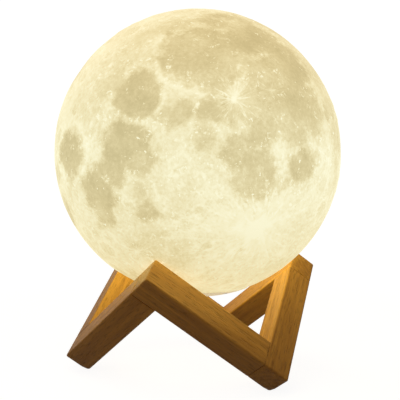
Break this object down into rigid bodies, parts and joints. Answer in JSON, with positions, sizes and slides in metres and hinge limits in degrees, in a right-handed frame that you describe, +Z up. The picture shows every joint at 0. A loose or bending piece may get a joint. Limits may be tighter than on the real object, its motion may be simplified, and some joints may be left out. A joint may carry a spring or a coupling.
{
  "type": "moon lamp",
  "caption": "Rechargeable moon lamp: a 15 cm glowing printed moon that rests loose on a zigzag stand of six square wooden bars.",
  "frame": {"origin": "on the table, under the centre of the moon", "axes": "+Z up through the moon's centre; -Y towards the stand's front peak"},
  "size_m": [0.15, 0.15, 0.1876],
  "materials": {
    "stand_wood": "stained beech, satin",
    "dowel_wood": "plain beech, sawn",
    "moon_print": "printed PLA, lit from inside",
    "base_plastic": "white ABS, fine texture",
    "button_plastic": "white ABS, satin",
    "ring_metal": "turned stainless steel",
    "screw_steel": "zinc-plated steel",
    "switch_plastic": "black moulded plastic",
    "board_laminate": "green solder mask on glass-epoxy board",
    "lamp_board_white": "white solder mask on aluminium board",
    "port_steel": "nickel-plated steel",
    "light_clear": "clear polycarbonate",
    "contact_nickel": "nickel-plated spring steel",
    "cell_wrap": "heat-shrunk sleeve",
    "light_chip_resin": "phosphor resin in a white cup",
    "dome_frosted": "frosted polycarbonate",
    "wire_cover": "PVC wire insulation"
  },
  "bodies": {
    "stand": {"stand_bar_1": "stand_wood", "stand_bar_2": "stand_wood", "stand_bar_3": "stand_wood", "stand_bar_4": "stand_wood", "stand_bar_5": "stand_wood", "stand_bar_6": "stand_wood", "stand_dowels": "dowel_wood"},
    "battery": {"battery_cell": "cell_wrap"},
    "moon": {"moon_shell": "moon_print", "base_housing": "base_plastic", "base_cover": "base_plastic", "cover_screws": "screw_steel", "button_ring": "ring_metal", "switch_body": "switch_plastic", "main_board": "board_laminate", "board_screws": "screw_steel", "control_chip": "switch_plastic", "charge_port": "port_steel", "port_tongue": "switch_plastic", "charge_light": "light_clear", "battery_tube": "base_plastic", "lower_contact": "contact_nickel", "upper_contact": "contact_nickel", "lamp_holder": "base_plastic", "lamp_board": "lamp_board_white", "light_chips": "light_chip_resin", "lamp_dome": "dome_frosted", "lamp_wires": "wire_cover"},
    "button": {"power_button": "button_plastic", "switch_stem": "switch_plastic"}
  },
  "joints": [
    {"name": "moon_lift", "type": "slide", "parent": "stand", "child": "battery", "axis": [0, 0, 1], "range_m": [0, 0.08]},
    {"name": "moon_spin", "type": "hinge", "parent": "battery", "child": "moon", "pos_m": [0, 0, 0.11264], "axis": [0, 0, 1], "continuous": true},
    {"name": "button_press", "type": "slide", "parent": "moon", "child": "button", "axis": [0, 0, 1], "range_m": [0, 0.0006], "stiffness_N_per_m": 2000, "springref_m": -0.0003}
  ]
}
